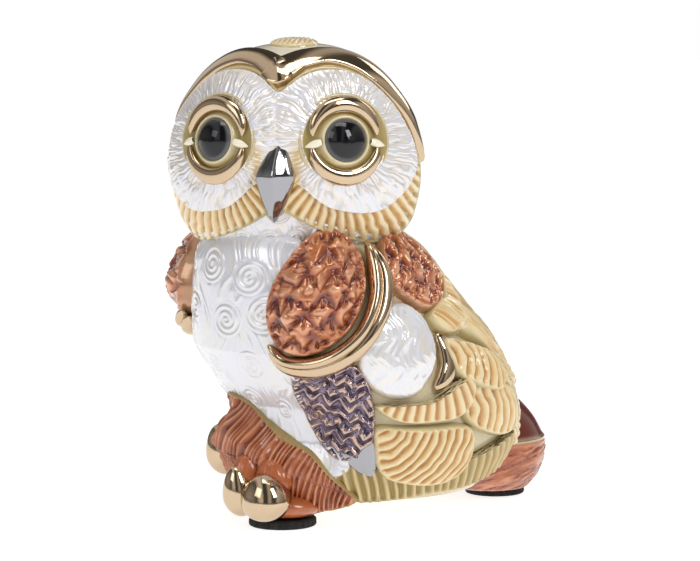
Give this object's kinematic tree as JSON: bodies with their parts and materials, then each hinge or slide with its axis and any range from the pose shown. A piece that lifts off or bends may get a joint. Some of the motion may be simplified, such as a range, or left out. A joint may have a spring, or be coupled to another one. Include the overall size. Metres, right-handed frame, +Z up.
{
  "type": "owl figurine",
  "caption": "Glazed ceramic figurine of a seated owl with its head turned to its left, carved feather panels and metallic lustre trim, on felt pads.",
  "frame": {"origin": "centre of the bounding box at the undersides of the felt pads", "axes": "+Z up, -Y the way the breast faces, +X the owl's left"},
  "size_m": [0.0642, 0.0908, 0.0996],
  "materials": {
    "platinum_lustre": "fired platinum lustre, mirror gloss",
    "cream_glaze": "clear glossy glaze over cream slip",
    "pearl_glaze": "white glaze with mother-of-pearl lustre",
    "gold_lustre": "fired gold lustre, mirror gloss",
    "ruff_glaze": "peach glaze with olive in the cuts",
    "black_glaze": "deep gloss black glaze",
    "violet_lustre": "metallic violet and bronze lustre",
    "felt": "black wool felt",
    "feather_glaze": "cream glaze with ochre in the cuts",
    "leg_glaze": "orange-brown glaze",
    "copper_glaze": "copper-orange glaze, dark in the cuts",
    "tail_glaze": "dark red-brown glaze"
  },
  "bodies": {
    "root": {"beak": "platinum_lustre", "body_shell": "cream_glaze", "breast_panel": "pearl_glaze", "brow_band": "gold_lustre", "covert_rim_left": "gold_lustre", "covert_rim_right": "gold_lustre", "crown_patch": "ruff_glaze", "eye_left": "black_glaze", "eye_right": "black_glaze", "eye_ring_left": "cream_glaze", "eye_ring_right": "cream_glaze", "face_mask": "pearl_glaze", "face_ruff": "ruff_glaze", "flank_patch_left": "violet_lustre", "flank_patch_right": "violet_lustre", "flank_tip_left": "platinum_lustre", "flank_tip_right": "platinum_lustre", "foot_pad_left": "felt", "foot_pad_right": "felt", "head_shell": "cream_glaze", "hem_feathers_left": "feather_glaze", "hem_feathers_right": "feather_glaze", "leg_left": "leg_glaze", "leg_right": "leg_glaze", "lower_eyelid_left": "gold_lustre", "lower_eyelid_right": "gold_lustre", "lower_feathers_left": "feather_glaze", "lower_feathers_right": "feather_glaze", "mantle": "feather_glaze", "middle_feathers_left": "feather_glaze", "middle_feathers_right": "feather_glaze", "pearl_covert_left": "pearl_glaze", "pearl_covert_right": "pearl_glaze", "scapular_patch_left": "copper_glaze", "scapular_patch_right": "copper_glaze", "scapular_rim_left": "gold_lustre", "scapular_rim_right": "gold_lustre", "shoulder_medallion_left": "copper_glaze", "shoulder_medallion_right": "copper_glaze", "shoulder_rim_left": "gold_lustre", "shoulder_rim_right": "gold_lustre", "tail_pad": "felt", "tail_top": "tail_glaze", "tail_underside": "leg_glaze", "talon_inner_left": "gold_lustre", "talon_inner_right": "gold_lustre", "talon_middle_left": "gold_lustre", "talon_middle_right": "gold_lustre", "talon_outer_left": "gold_lustre", "talon_outer_right": "gold_lustre", "upper_eyelid_left": "gold_lustre", "upper_eyelid_right": "gold_lustre", "upper_feathers_left": "feather_glaze", "upper_feathers_right": "feather_glaze"}
  },
  "joints": []
}
